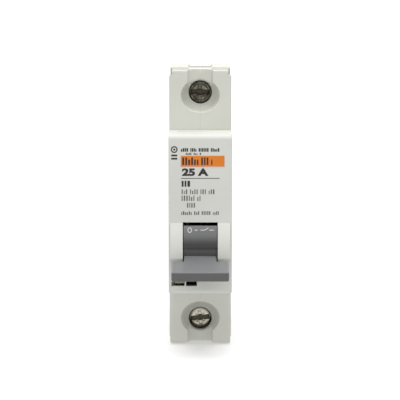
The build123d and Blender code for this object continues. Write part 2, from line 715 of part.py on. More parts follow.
def clamp_cage():
    """Lower clamp cage, open at rest, with the thread in its front wall."""
    z0 = SCREW_INSET - CAGE_H / 2
    z1 = SCREW_INSET + CAGE_H / 2
    cage = block(-CAGE_HALF, CAGE_HALF, CAGE_Y0, CAGE_Y1, z0, z1)
    cage = fillet(cage.edges().filter_by(Axis.Z), 1.2)
    cage -= block(-CAGE_WINDOW, CAGE_WINDOW, CAGE_Y0 + CAGE_FRONT_T, CAGE_Y1 - CAGE_REAR_T, z0 - 1, z1 + 1)
    return cage - rod_y(0, SCREW_INSET, SHANK_R + PIN_FIT, CAGE_Y0 - 1, CAGE_Y0 + CAGE_FRONT_T + 1)


def rail_clip():
    """Sliding clip with a hook for the lower edge of the rail and a tab for a screwdriver."""
    low = Z_MID - RAIL_HALF
    body = block(-CLIP_HALF, CLIP_HALF, Y_RAIL - 0.5, Y_RAIL + 3.6, 1.2, low - 0.5)
    body += block(-CLIP_HALF - 1.0, CLIP_HALF + 1.0, Y_RAIL - 0.5, Y_RAIL + 1.5, 9.0, low - 0.8)
    body += side_plate(
        [
            (Y_RAIL + 1.4, low - 1.0),
            (Y_RAIL + 3.6, low - 1.0),
            (Y_RAIL + 3.6, low + 0.8),
            (Y_RAIL + 2.2, low + 2.2),
            (Y_RAIL + 1.4, low + 2.2),
        ],
        -CLIP_HALF,
        CLIP_HALF,
    )
    return body - block(-2.7, 2.7, Y_RAIL - 2, Y_RAIL + 5, 3.0, 4.8)


def toggle_spring():
    """Torsion spring round the toggle's hub."""
    spring = Rot(0, 90, 0) * coil_spring(HUB_R + 0.45, 0.22, 2, 0.5)
    return Pos(4.75, AXIS_Y, AXIS_Z) * spring


def contact_spring():
    """Torsion spring round the contact arm's pin."""
    spring = Rot(0, 90, 0) * coil_spring(ARM_PIN_R + 0.55, 0.2, 2, 0.45)
    return Pos(1.45, ARM_Y, ARM_Z) * spring


def build():
    """All the nodes by name."""
    right = case_half()
    lower_screw = terminal_screw(LOWER_SLOT_ANGLE)
    cage = clamp_cage()
    top_screw = flip_z(terminal_screw(UPPER_SLOT_ANGLE))
    return {
        "right_case": right,
        "left_case": mirror(right, Plane.YZ),
        "front_cover": front_cover(),
        "rating_label": rating_label(),
        "case_rivets": rivets(),
        "toggle_handle": toggle_handle(),
        "toggle_pin": rod_x(AXIS_Y, AXIS_Z, TOGGLE_PIN_R, -7.25, 7.25),
        "toggle_spring": toggle_spring(),
        "drive_link": drive_link(),
        "contact_arm": contact_arm(),
        "arm_pin": rod_x(ARM_Y, ARM_Z, ARM_PIN_R, -6.8, 6.8),
        "contact_spring": contact_spring(),
        "moving_contact_tip": moving_contact_tip(),
        "fixed_contact_tip": fixed_contact_tip(),
        "fixed_contact_bar": fixed_contact_bar(),
        "upper_arc_runner": upper_runner(),
        "lower_arc_runner": lower_runner(),
        "arc_splitter_plates": arc_plates(),
        "arc_chute_cheeks": arc_cheeks(),
        "coil_winding": coil_winding(),
        "coil_bobbin": bobbin(),
        "magnet_yoke": magnet_yoke(),
        "fixed_core": fixed_core(),
        "plunger": plunger(),
        "plunger_spring": plunger_spring(),
        "trip_lever": trip_lever(),
        "trip_lever_pin": rod_x(TRIP_Y, TRIP_Z, TRIP_PIN_R, -7.35, -4.0),
        "bimetal_strip": bimetal_strip(),
        "flexible_braid": flexible_braid(),
        "calibration_screw": calibration_screw(),
        "lower_terminal_plate": lower_plate(),
        "upper_terminal_plate": upper_plate(),
        "lower_terminal_screw": lower_screw,
        "upper_terminal_screw": top_screw,
        "lower_clamp_cage": cage,
        "upper_clamp_cage": flip_z(cage),
        "rail_clip": rail_clip(),
    }


os.makedirs("parts", exist_ok=True)
for name, shape in build().items():
    solids = shape if isinstance(shape, list) else shape.solids()
    node = Compound(children=list(solids)) if len(solids) > 1 else solids[0]
    node.label = name
    export_step(node, f"parts/{name}.step")
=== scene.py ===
import bmesh
import bpy
import json
import random
from math import atan2, cos, hypot, pi, radians, sin
from mathutils import Matrix, Vector, noise


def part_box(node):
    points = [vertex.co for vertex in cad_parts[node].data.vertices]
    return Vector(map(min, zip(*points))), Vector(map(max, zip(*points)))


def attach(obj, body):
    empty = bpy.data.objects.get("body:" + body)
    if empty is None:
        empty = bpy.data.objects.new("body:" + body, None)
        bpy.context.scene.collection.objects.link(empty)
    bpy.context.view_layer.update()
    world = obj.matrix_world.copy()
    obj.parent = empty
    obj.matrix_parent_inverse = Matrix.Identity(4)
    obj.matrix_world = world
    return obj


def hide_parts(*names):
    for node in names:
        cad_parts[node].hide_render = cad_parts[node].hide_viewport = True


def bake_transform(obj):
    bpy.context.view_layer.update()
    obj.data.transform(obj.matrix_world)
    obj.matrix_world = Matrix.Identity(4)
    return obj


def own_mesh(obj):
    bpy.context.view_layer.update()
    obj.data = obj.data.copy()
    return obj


# Single-pole circuit breaker. Metres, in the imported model's frame: -Y is the front, +Z is up.

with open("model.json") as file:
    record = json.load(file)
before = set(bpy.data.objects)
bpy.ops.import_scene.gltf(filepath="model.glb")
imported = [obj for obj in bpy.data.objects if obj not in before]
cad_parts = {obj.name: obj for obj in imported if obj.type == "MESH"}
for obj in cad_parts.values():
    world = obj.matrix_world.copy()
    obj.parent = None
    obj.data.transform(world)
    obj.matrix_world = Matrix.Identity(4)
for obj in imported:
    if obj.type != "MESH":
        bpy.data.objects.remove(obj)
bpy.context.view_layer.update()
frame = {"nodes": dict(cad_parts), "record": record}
NODES = frame["nodes"]
MM = 0.001


# ================================================================ material graph


class Finish:
    """A material's node tree, with short calls for the few kinds of node it needs."""

    def __init__(self, name):
        self.material = bpy.data.materials.new(name)
        self.material.use_nodes = True
        self.tree = self.material.node_tree
        self.shader = self.tree.nodes["Principled BSDF"]
        self.place = self.add("ShaderNodeTexCoord").outputs["Object"]

    def add(self, kind, inputs=None, **settings):
        """New node; inputs are plain values or other nodes' outputs."""
        made = self.tree.nodes.new(kind)
        for key, value in settings.items():
            setattr(made, key, value)
        for key, value in (inputs or {}).items():
            self.put(made.inputs[key], value)
        return made

    def put(self, target, value):
        if isinstance(value, bpy.types.NodeSocket):
            self.tree.links.new(value, target)
        else:
            target.default_value = value

    def noise(self, size_mm, detail=3.0, rough=0.5, stretch=(1, 1, 1), shift=(0, 0, 0)):
        """Noise whose blotches are about size_mm across; stretch lengthens them along an axis."""
        scale = tuple(1.0 / s for s in stretch)
        mapping = {"Vector": self.place, "Scale": scale, "Location": shift}
        moved = self.add("ShaderNodeMapping", mapping)
        values = {
            "Vector": moved.outputs["Vector"],
            "Scale": 1.0 / (size_mm * MM),
            "Detail": detail,
            "Roughness": rough,
        }
        return self.add("ShaderNodeTexNoise", values).outputs["Fac"]

    def span(self, value, low, high, to_low=0.0, to_high=1.0):
        """Maps low..high to to_low..to_high, smoothly and clamped."""
        values = {0: value, 1: low, 2: high, 3: to_low, 4: to_high}
        made = self.add("ShaderNodeMapRange", None, interpolation_type="SMOOTHSTEP", clamp=True)
        for key, item in values.items():
            self.put(made.inputs[key], item)
        return made.outputs[0]

    def calc(self, a, b, kind="ADD"):
        """Arithmetic on two values; kind is the Math node's operation."""
        return self.add("ShaderNodeMath", {0: a, 1: b}, operation=kind).outputs[0]

    def mix(self, share, a, b):
        made = self.add("ShaderNodeMix", None, data_type="RGBA")
        self.put(made.inputs[0], share)
        self.put(made.inputs[6], a if isinstance(a, bpy.types.NodeSocket) else (*a, 1))
        self.put(made.inputs[7], b if isinstance(b, bpy.types.NodeSocket) else (*b, 1))
        return made.outputs[2]

    def corners(self, reach_mm):
        """1 deep in corners and gaps, 0 in the open."""
        made = self.add("ShaderNodeAmbientOcclusion", {"Distance": reach_mm * MM}, samples=6)
        return self.span(made.outputs["AO"], 0.9, 0.25)

    def height(self, value, depth_mm, strength=1.0, below=None):
        """Bump of that depth, laid over another one."""
        values = {"Height": value, "Distance": depth_mm * MM, "Strength": strength}
        made = self.add("ShaderNodeBump", values)
        if below is not None:
            self.put(made.inputs["Normal"], below)
        return made.outputs["Normal"]

    def finish(self, colour, rough, normal, metallic=0.0, specular=0.5):
        self.put(self.shader.inputs["Base Color"], colour)
        self.put(self.shader.inputs["Roughness"], rough)
        self.put(self.shader.inputs["Normal"], normal)
        self.shader.inputs["Metallic"].default_value = metallic
        self.shader.inputs["Specular IOR Level"].default_value = specular
        return self.material


def moulded(
    name,
    light,
    dark,
    rough,
    grain_mm=0.16,
    grain_depth=0.006,
    grime_and_shade=(0.30, 0.27, 0.20),
    dirt_and_shade=0.35,
    shade=None,
):
    """Moulded plastic: slow drift of colour, fine grain, scuffs, specks, and soiling and painted shade
    in the corners.

    shade returns the colour to start from, given the Finish.
    """
    f = Finish(name)
    drift = f.span(f.noise(22, 3), 0.32, 0.68)
    colour = shade(f) if shade else f.mix(drift, light, dark)
    specks = f.span(f.noise(0.45, 1, shift=(0.3, 0.1, 0.7)), 0.74, 0.80, 0, 0.28)
    colour = f.mix(specks, colour, grime_and_shade)
    scuffs = f.span(f.noise(0.8, 4, 0.65, stretch=(1, 1, 9)), 0.60, 0.78, 0, 0.16)
    colour = f.mix(scuffs, colour, tuple(min(1.0, c * 1.12) for c in light))
    smear = f.span(f.noise(6, 4, 0.7, shift=(0.5, 0.5, 0)), 0.45, 0.75)
    # Grime and painted shade: corners and gaps found by ambient occlusion darken towards the grime
    # colour, more where the smears are.
    corner_grime_and_shade = f.calc(f.corners(1.1), f.span(smear, 0, 1, dirt_and_shade * 0.55, dirt_and_shade), "MULTIPLY")
    colour = f.mix(corner_grime_and_shade, colour, grime_and_shade)
    shine = f.span(f.noise(9, 4, 0.6), 0.3, 0.75, rough - 0.06, rough + 0.10)
    shine = f.calc(shine, f.calc(scuffs, 0.35, "MULTIPLY"), "SUBTRACT")
    ripple = f.height(f.noise(7, 2), 0.02, 0.5)
    grain = f.height(f.noise(grain_mm, 2, 0.6), grain_depth, 0.8, ripple)
    return f.finish(colour, shine, grain, specular=0.42)


COATED_METALLIC = 0.35


def metal(
    name,
    bright,
    dull,
    rough,
    grain=(1, 1, 1),
    tarnish=0.4,
    scratch=0.25,
    dirt_and_shade=0.5,
    grime_and_shade=(0.05, 0.04, 0.02),
    packed_dirt_and_shade=None,
):
    """Plated or bare metal: blotches of tarnish, drawn grain, scratches, and soiling and painted shade
    in the corners.

    packed returns how much old soiling, and painted shade with it, fills a place, given the Finish. A
    metal so filled is mostly coated, so it shines like metal only in part.
    """
    f = Finish(name)
    blotch = f.span(f.noise(1.6, 5, 0.62), 0.42, 0.66, 0, tarnish)
    colour = f.mix(blotch, bright, dull)
    lines = f.noise(0.12, 3, 0.6, stretch=grain)
    colour = f.mix(f.span(lines, 0.45, 0.75, 0, 0.25), colour, dull)
    lengths = f.noise(0.5, 5, 0.7, stretch=(7, 1, 1), shift=(0.2, 0.9, 0.4))
    marks = f.span(lengths, 0.62, 0.70, 0, scratch)
    colour = f.mix(marks, colour, tuple(min(1.0, c * 1.35) for c in bright))
    # Dirt and painted shade: corners found by ambient occlusion darken towards the grime colour.
    soiled_and_shaded = f.calc(f.corners(0.5), dirt_and_shade, "MULTIPLY")
    if packed_dirt_and_shade:
        soiled_and_shaded = f.calc(soiled_and_shaded, packed_dirt_and_shade(f), "MAXIMUM")
    colour = f.mix(soiled_and_shaded, colour, grime_and_shade)
    shine = f.span(blotch, 0, tarnish, rough - 0.05, rough + 0.22)
    shine = f.calc(shine, f.calc(soiled_and_shaded, 0.3, "MULTIPLY"))
    skin = f.height(lines, 0.008, 0.6)
    skin = f.height(f.noise(0.6, 4, 0.6), 0.012, 0.5, skin)
    return f.finish(colour, shine, skin, metallic=COATED_METALLIC if packed_dirt_and_shade else 1.0, specular=0.5)


def printed(name, ink, worn, rough=0.5):
    """Pad-printed ink: slightly uneven cover, with tiny pinholes and a faint texture."""
    f = Finish(name)
    cover = f.span(f.noise(0.35, 4, 0.7), 0.52, 0.74, 0, 0.55)
    colour = f.mix(cover, ink, worn)
    colour = f.mix(f.span(f.noise(3, 2), 0.35, 0.7, 0, 0.25), colour, worn)
    shine = f.span(f.noise(0.8, 3), 0.3, 0.7, rough - 0.08, rough + 0.12)
    return f.finish(colour, shine, f.height(f.noise(0.12, 2), 0.004, 0.6), specular=0.35)


CASE_LIGHT = (0.692, 0.697, 0.642)
CASE_DARK = (0.652, 0.656, 0.592)
# Colour of the painted shade at the lower end, and of the dirt and painted shade in the round
# recesses.
DIRT_AND_SHADE_TONE = (0.30, 0.30, 0.26)
COVER_LIGHT = (0.715, 0.725, 0.680)
COVER_DARK = (0.680, 0.688, 0.635)

BOWL_CENTRES = (9.0, 72.0)  # Z of the middle of the dirt and painted shade in the round recesses
BOWL_RIM_Y = -9.4
BOWL_FLOOR_Y = -5.5
BOWL_DIRT_AND_SHADE_REACH = (6.0, 4.9)  # from clean to dirty and shaded, from the centre
BOWL_DIRT_AND_SHADE_SHARE = (0.40, 0.56)
BEHIND_BOWL_Y = (-4.0, -2.0)  # the dirt and painted shade fade out between these, so that none shows further back
LOWER_SHADE_Z = (18, 6)  # from unshaded to shaded
LOWER_SHADE_SHARE = 0.16


def case_shade(f):
    """Slow drift of colour, painted shade towards the lower end, and soiling with painted shade in the
    round recesses.
    """
    base = f.mix(f.span(f.noise(22, 3), 0.32, 0.68), CASE_LIGHT, CASE_DARK)
    split = f.add("ShaderNodeSeparateXYZ", {0: f.place})
    # Painted shade: the case is darkened towards its lower end, standing in for the shade below the
    # nose.
    lower_shade = f.span(split.outputs["Z"], LOWER_SHADE_Z[0] * MM, LOWER_SHADE_Z[1] * MM, 0, LOWER_SHADE_SHARE)
    base = f.mix(lower_shade, base, DIRT_AND_SHADE_TONE)
    across = f.calc(split.outputs["X"], 2.0, "POWER")
    near = 0.0
    for centre in BOWL_CENTRES:
        up = f.calc(split.outputs["Z"], centre * MM, "SUBTRACT")
        reach = f.calc(f.calc(across, f.calc(up, 2.0, "POWER")), 0.5, "POWER")
        open_reach, dark_reach = BOWL_DIRT_AND_SHADE_REACH
        near = f.calc(near, f.span(reach, open_reach * MM, dark_reach * MM), "MAXIMUM")
    deep = f.span(split.outputs["Y"], BOWL_RIM_Y * MM, BOWL_FLOOR_Y * MM)
    kept = f.span(split.outputs["Y"], BEHIND_BOWL_Y[0] * MM, BEHIND_BOWL_Y[1] * MM, 1, 0)
    deep = f.calc(deep, kept, "MULTIPLY")
    # Dirt and painted shade: the round recesses darken in patches towards their floors.
    patches = f.span(f.noise(5, 3), 0.25, 0.75, *BOWL_DIRT_AND_SHADE_SHARE)
    dirt_and_shade = f.calc(f.calc(near, deep, "MULTIPLY"), patches, "MULTIPLY")
    return f.mix(dirt_and_shade, base, DIRT_AND_SHADE_TONE)


TOGGLE_AXIS = (-18.0, 32.0)  # Y and Z of the toggle's hinge
DRUM_R = 8.8
BAR_GREY = (0.205, 0.208, 0.212)
DRUM_GREY = (0.165, 0.167, 0.169)
DRUM_SHADE_GREY = (0.036, 0.036, 0.037)
NECK_SHADE_GREY = (0.090, 0.090, 0.091)
# In metres: heights over the axis where the drum's painted shade gives way to grey and where the
# painted shade of the handle's neck starts, and the distance from the axis where the bar starts.
DRUM_SHADE_UP = (-0.0002, 0.0032)
NECK_UP = (-0.0012, -0.0016)
BAR_REACH = (0.0088, 0.0092)
UNDER_SHADE_SHARE = 0.85


def toggle_shade(f):
    """Painted shade on the toggle: the drum darker than the bar and darkest low down, and the neck and
    the bar's underside dark too.
    """
    split = f.add("ShaderNodeSeparateXYZ", {0: f.place})
    across = f.calc(split.outputs["Y"], TOGGLE_AXIS[0] * MM, "SUBTRACT")
    up = f.calc(split.outputs["Z"], TOGGLE_AXIS[1] * MM, "SUBTRACT")
    reach = f.calc(f.calc(f.calc(across, 2.0, "POWER"), f.calc(up, 2.0, "POWER")), 0.5, "POWER")
    # Painted shade: the drum darkens towards its lower side and the neck, and is kept darker than the
    # bar.
    drum = f.mix(f.span(up, *DRUM_SHADE_UP), DRUM_SHADE_GREY, DRUM_GREY)
    drum = f.mix(f.span(up, *NECK_UP), drum, NECK_SHADE_GREY)
    patches = f.span(f.noise(6, 3), 0.3, 0.7, 0, 0.2)
    # Painted shade: faces that point down are darkened.
    normal = f.add("ShaderNodeTexCoord").outputs["Normal"]
    facing = f.add("ShaderNodeSeparateXYZ", {0: normal}).outputs["Z"]
    under_shade = f.span(facing, 0.0, -0.3, 0, UNDER_SHADE_SHARE)
    bar = f.mix(under_shade, f.mix(patches, BAR_GREY, DRUM_GREY), NECK_SHADE_GREY)
    return f.mix(f.span(reach, *BAR_REACH), drum, bar)


SCREW_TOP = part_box("upper_terminal_screw")[0].y  # both screws' heads start here
SLOT_FLOOR = 1.25 * MM
LOWER_SCREW_Z = 7.2
CRESCENT_RISE = 1.0  # how far the unshaded part of the lower head sits above its centre
CRESCENT_REACH = (2.95, 3.25)


def slot_dirt_and_shade(f):
    """Soiling and painted shade in the driver slot and down the side of the head."""
    depth = f.calc(f.add("ShaderNodeSeparateXYZ", {0: f.place}).outputs["Y"], SCREW_TOP, "SUBTRACT")
    # Dirt and painted shade: the slot's floor and the side of the head below it are darkened.
    inside = f.span(depth, 0.55 * SLOT_FLOOR, 0.9 * SLOT_FLOOR, 0, 0.92)
    return f.calc(inside, f.span(depth, 2.5 * MM, 2.8 * MM, 1, 0), "MULTIPLY")


def slot_dirt_and_crescent_shade(f):
    """The same, with a crescent of painted shade on the lower side of the lower screw's head."""
    # Painted shade: a crescent on the lower side of the head, where the bore's shadow falls.
    centre = (0, SCREW_TOP, LOWER_SCREW_Z * MM + CRESCENT_RISE * MM)
    away = f.add("ShaderNodeVectorMath", {0: f.place, 1: centre}, operation="DISTANCE")
    away = away.outputs["Value"]
    crescent = f.span(away, CRESCENT_REACH[0] * MM, CRESCENT_REACH[1] * MM, 0, 0.9)
    return f.calc(slot_dirt_and_shade(f), crescent, "MAXIMUM")


FINISHES = {
    "case_plastic": moulded("case_plastic", CASE_LIGHT, CASE_DARK, 0.52, shade=case_shade),
    "cover_plastic": moulded("cover_plastic", COVER_LIGHT, COVER_DARK, 0.50),
    "toggle_plastic": moulded(
        "toggle_plastic",
        BAR_GREY,
        DRUM_GREY,
        0.34,
        grain_mm=0.14,
        grain_depth=0.005,
        grime_and_shade=(0.03, 0.03, 0.03),
        dirt_and_shade=0.25,
        shade=toggle_shade,
    ),
    "orange_label": printed("orange_label", (0.80, 0.225, 0.018), (0.72, 0.19, 0.016), 0.42),
    "dark_ink": printed("dark_ink", (0.022, 0.022, 0.024), (0.075, 0.075, 0.072)),
    "grey_ink": printed("grey_ink", (0.11, 0.11, 0.105), (0.24, 0.24, 0.225)),
    "white_ink": printed("white_ink", (0.64, 0.65, 0.66), (0.42, 0.43, 0.44)),
    "black_plastic": moulded(
        "black_plastic", (0.030, 0.030, 0.031), (0.022, 0.022, 0.022), 0.45, grime_and_shade=(0.08, 0.07, 0.05)
    ),
    "beige_plastic": moulded("beige_plastic", (0.62, 0.55, 0.40), (0.52, 0.45, 0.31), 0.45, dirt_and_shade=0.6),
    "clip_plastic": moulded("clip_plastic", (0.46, 0.465, 0.45), (0.41, 0.415, 0.40), 0.5),
    "fibre": moulded(
        "fibre", (0.38, 0.15, 0.07), (0.30, 0.11, 0.05), 0.7, grain_mm=0.25, grain_depth=0.01
    ),
    "zinc_steel": metal("zinc_steel", (0.66, 0.66, 0.63), (0.44, 0.45, 0.44), 0.34),
    "spring_steel": metal("spring_steel", (0.56, 0.56, 0.55), (0.36, 0.36, 0.35), 0.28),
    "bimetal": metal("bimetal", (0.60, 0.56, 0.50), (0.44, 0.38, 0.32), 0.32, grain=(1, 1, 12)),
    "nickel": metal(
        "nickel",
        (0.76, 0.73, 0.62),
        (0.44, 0.39, 0.26),
        0.26,
        tarnish=0.5,
        dirt_and_shade=0.9,
        packed_dirt_and_shade=slot_dirt_and_crescent_shade,
    ),
    # Tarnish and painted shade: the upper screw's head is made far darker than the lower one's,
    # standing in for the shade it sits in.
    "tarnished_nickel": metal(
        "tarnished_nickel",
        (0.36, 0.33, 0.26),
        (0.05, 0.045, 0.03),
        0.30,
        tarnish=0.95,
        scratch=0.8,
        packed_dirt_and_shade=slot_dirt_and_shade,
    ),
    "copper": metal("copper", (0.80, 0.42, 0.27), (0.45, 0.22, 0.14), 0.30, grain=(1, 1, 6)),
    "brass": metal("brass", (0.80, 0.62, 0.28), (0.52, 0.38, 0.16), 0.30),
    "silver": metal("silver", (0.86, 0.85, 0.82), (0.55, 0.53, 0.48), 0.25),
}


def paint(piece, slot):
    """Gives a new piece the finish of a slot in the record."""
    piece.data.materials.clear()
    piece.data.materials.append(FINISHES[slot])


SLOTS = {part["node"]: part["material_slot"] for part in frame["record"]["subparts"]}
for node_name, slot_name in SLOTS.items():
    paint(NODES[node_name], slot_name)


# ================================================================ mesh helpers


def piece_from(bm, name, slot, body, smooth=True):
    """Turns a bmesh in the row frame into a piece that rides on a body."""
    bmesh.ops.recalc_face_normals(bm, faces=bm.faces)
    mesh = bpy.data.meshes.new(name)
    bm.to_mesh(mesh)
    bm.free()
    piece = bpy.data.objects.new(name, mesh)
    bpy.context.scene.collection.objects.link(piece)
    if smooth:
        mesh.shade_smooth()
    paint(piece, slot)
    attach(piece, body)
    return piece


def rounded_bar(x0, x1, z0, z1, r, steps=3):
    """Outline of a bar with rounded corners."""
    r = min(r, (x1 - x0) / 2.01, (z1 - z0) / 2.01)
    centres = [(x1 - r, z1 - r, 0), (x0 + r, z1 - r, 90), (x0 + r, z0 + r, 180), (x1 - r, z0 + r, 270)]
    outline = []
    for cx, cz, start in centres:
        for i in range(steps + 1):
            angle = radians(start + 90 * i / steps)
            outline.append((cx + r * cos(angle), cz + r * sin(angle)))
    return outline


def raised(bm, outlines, lift, thickness):
    """Extruded outlines. lift maps a point and its height above the surface to the row frame."""
    for outline in outlines:
        low = [bm.verts.new(lift(x, z, -thickness * 0.2)) for x, z in outline]
        high = [bm.verts.new(lift(x, z, thickness)) for x, z in outline]
        count = len(outline)
        bm.faces.new(low[::-1])
        bm.faces.new(high)
        for i in range(count):
            j = (i + 1) % count
            bm.faces.new((low[i], low[j], high[j], high[i]))


def ring_strip(cx, cz, rx, rz, width, steps=28):
    """Quads of a ring, as outlines."""
    quads = []
    for i in range(steps):
        a = radians(360.0 * i / steps)
        b = radians(360.0 * (i + 1) / steps)
        quads.append(
            [
                (cx + rx * cos(a), cz + rz * sin(a)),
                (cx + rx * cos(b), cz + rz * sin(b)),
                (cx + (rx - width) * cos(b), cz + (rz - width) * sin(b)),
                (cx + (rx - width) * cos(a), cz + (rz - width) * sin(a)),
            ]
        )
    return quads


# ================================================================ front prints

NOSE_Y = -25.0
LABEL_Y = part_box("rating_label")[0].y / MM
INK = 0.02  # thickness of the print


def print_piece(name, outlines, slot, surface_y=NOSE_Y):
    """Flat print on the nose; outlines are in millimetres, X and Z."""
    bm = bmesh.new()
    raised(bm, outlines, lambda x, z, h: (x * MM, (surface_y - h) * MM, z * MM), INK)
    return piece_from(bm, name, slot, "case", smooth=False)


def words(x0, x1, z0, z1, seed, bar=0.30, gap=0.16, space=0.5):
    """A line of plain bars of uneven height and width that stands for small print."""
    draw = random.Random(seed)
    outlines = []
    x = x0
    left = draw.randint(3, 6)
    while x < x1 - bar * 0.6:
        width = min(bar * draw.uniform(0.75, 1.35), x1 - x)
        short = draw.random() < 0.25
        top = z1 - (z1 - z0) * (0.28 if short else 0)
        outlines.append(rounded_bar(x, x + width, z0, top, 0.05, 1))
        x += width + gap
        left -= 1
        if left == 0:
            x += space
            left = draw.randint(3, 6)
    return outlines


def glyph_mesh(text, x0, z0, x1, z1, weight):
    """Text in Blender's own font, fitted to a box, as a flat filled mesh in millimetres."""
    curve = bpy.data.curves.new("glyphs", "FONT")
    curve.body = text
    curve.offset = weight
    curve.resolution_u = 6
    curve.fill_mode = "BOTH"
    curve.extrude = 0.01
    holder = bpy.data.objects.new("glyphs", curve)
    bpy.context.scene.collection.objects.link(holder)
    bpy.context.view_layer.update()
    mesh = bpy.data.meshes.new_from_object(holder)
    bpy.data.objects.remove(holder)
    xs = [v.co.x for v in mesh.vertices]
    ys = [v.co.y for v in mesh.vertices]
    for v in mesh.vertices:
        x = x0 + (v.co.x - min(xs)) / (max(xs) - min(xs)) * (x1 - x0)
        z = z0 + (v.co.y - min(ys)) / (max(ys) - min(ys)) * (z1 - z0)
        v.co = Vector((x, INK if v.co.z > 0 else -INK * 0.2, z))
    return mesh


def glyph_piece(name, text, x0, z0, x1, z1, weight, slot):
    """Raised print of generic text, fitted to a box on the nose."""
    mesh = glyph_mesh(text, x0, z0, x1, z1, weight)
    for v in mesh.vertices:
        v.co = Vector((v.co.x * MM, (NOSE_Y - v.co.y) * MM, v.co.z * MM))
    piece = bpy.data.objects.new(name, mesh)
    bpy.context.scene.collection.objects.link(piece)
    paint(piece, slot)
    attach(piece, "case")
    return piece


def front_prints():
    """Generic marks in place of the maker's print."""
    badge = ring_strip(-7.25, 58.75, 0.95, 0.95, 0.34)
    badge.append(rounded_bar(-7.55, -6.95, 58.45, 59.05, 0.3))
    badge.append(rounded_bar(-8.1, -6.4, 55.95, 56.45, 0.12))
    badge.append(rounded_bar(-8.1, -6.4, 56.85, 57.35, 0.12))
    print_piece("print_badge", badge, "dark_ink")
    print_piece("print_line_1", words(-5.4, 5.5, 58.15, 59.15, 3, 0.34, 0.13), "dark_ink")
    print_piece("print_line_2", words(-4.0, 0.2, 57.25, 57.85, 4, 0.30, 0.14), "dark_ink")
    stripes = words(-5.0, 3.5, 54.45, 56.55, 11, 0.42, 0.3, 0.5)
    print_piece("print_label_code", stripes, "dark_ink", LABEL_Y)
    glyph_piece("print_rating", "25 A", -5.1, 51.35, 2.3, 53.5, 0.055, "dark_ink")
    print_piece("print_rule", [rounded_bar(-5.4, 5.4, 50.6, 50.78, 0.02)], "dark_ink")
    print_piece("print_poles", words(-5.2, -2.6, 48.35, 50.0, 21, 0.55, 0.28), "dark_ink")
    print_piece("print_line_3", words(-5.2, 4.0, 46.25, 47.6, 31, 0.30, 0.30), "grey_ink")
    print_piece("print_line_4", words(-5.2, 0.2, 44.35, 45.85, 41, 0.30, 0.32), "grey_ink")
    print_piece("print_line_5", words(-3.7, -1.4, 42.45, 43.8, 51, 0.28, 0.30), "grey_ink")
    print_piece("print_line_6", words(-5.3, 5.2, 40.4, 41.45, 61, 0.30, 0.20), "grey_ink")


front_prints()

# ================================================================ mark on the toggle's drum


def drum_lift(x, along, h):
    """along is the length round the drum above the level of its axis."""
    angle = along / DRUM_R
    radius = DRUM_R + h
    y = TOGGLE_AXIS[0] - radius * cos(angle)
    z = TOGGLE_AXIS[1] + radius * sin(angle)
    return (x * MM, y * MM, z * MM)


def drum_print():
    """O ring, dash and open-contact sign for the off position."""
    mid = radians(28.5) * DRUM_R
    marks = ring_strip(-2.95, mid, 0.62, 0.82, 0.24)
    marks.append(rounded_bar(-1.55, -0.75, mid - 0.12, mid + 0.12, 0.08))
    marks.append(rounded_bar(0.05, 1.25, mid - 0.12, mid + 0.12, 0.08))
    marks.append([(1.2, mid - 0.12), (2.35, mid + 0.55), (2.25, mid + 0.75), (1.1, mid + 0.08)])
    marks.append(rounded_bar(2.55, 3.85, mid - 0.12, mid + 0.12, 0.08))
    bm = bmesh.new()
    raised(bm, marks, drum_lift, INK)
    return piece_from(bm, "print_off_mark", "white_ink", "toggle", smooth=False)


drum_print()

# ================================================================ terminal screws

HEAD_R = 3.1
HEAD_DEPTH = 2.6
SHANK_R = 2.5
THREAD_PITCH = 0.8
THREAD_DEPTH = 0.42
GRID_STEP = 0.05
SLOT_HALF = (2.75, 0.60)
CROSS_HALF = (0.52, 1.95)
RING_R = 2.4  # turned ring in the upper screw's crown
CROWN_RISE = 0.30
EDGE_R = 2.45  # the crown rounds over from here to the rim
EDGE_DROP = 0.55
CROSS_DEPTH = 0.55
TICK_DEPTH = 0.35
CORE_DEPTH = 1.4
THREAD_STEPS = 8  # rings of vertices in one pitch


def ramp(value, low, high):
    """0 below low, 1 above high, smooth in between."""
    t = min(1.0, max(0.0, (value - low) / (high - low)))
    return t * t * (3 - 2 * t)


def box_depth(u, v, half_u, half_v, soft):
    """1 inside a rectangle, 0 outside, with soft walls."""
    return ramp(half_u + soft - abs(u), 0, soft) * ramp(half_v + soft - abs(v), 0, soft)


def head_height(u, v, ring_depth):
    """Depth of the screw head below its crown at a point of its face, in millimetres."""
    r = hypot(u, v)
    crown = CROWN_RISE * (r / HEAD_R) ** 2
    over = max(0.0, (r - EDGE_R) / (HEAD_R - EDGE_R))
    crown += EDGE_DROP * (1 - (1 - min(1.0, over) ** 2) ** 0.5)
    slot = box_depth(u, v, *SLOT_HALF, 0.14)
    narrow = 0.18 * ramp(abs(v), 0.6, 2.0)
    cross = box_depth(u, v, CROSS_HALF[0] - narrow, CROSS_HALF[1], 0.16)
    diagonal = 0.0
    for side in (-1, 1):
        along = (u + side * v) * 0.7071
        across = (u - side * v) * 0.7071
        diagonal = max(diagonal, box_depth(along, across, 1.55, 0.16, 0.12))
    core = 1 - ramp(r, 0.75, 1.15)
    slot_depth = SLOT_FLOOR / MM * slot
    recess = max(slot_depth, CROSS_DEPTH * cross, TICK_DEPTH * diagonal, CORE_DEPTH * core)
    dents = 0.03 * noise.noise(Vector((u * 2.2, v * 2.2, 0.7)))
    pits = 0.012 * noise.noise(Vector((u * 9, v * 9, 4.2)))
    worn = dents + pits
    ring = ring_depth * (1 - ramp(abs(r - RING_R), 0.05, 0.22))
    return crown + max(recess, ring) + worn


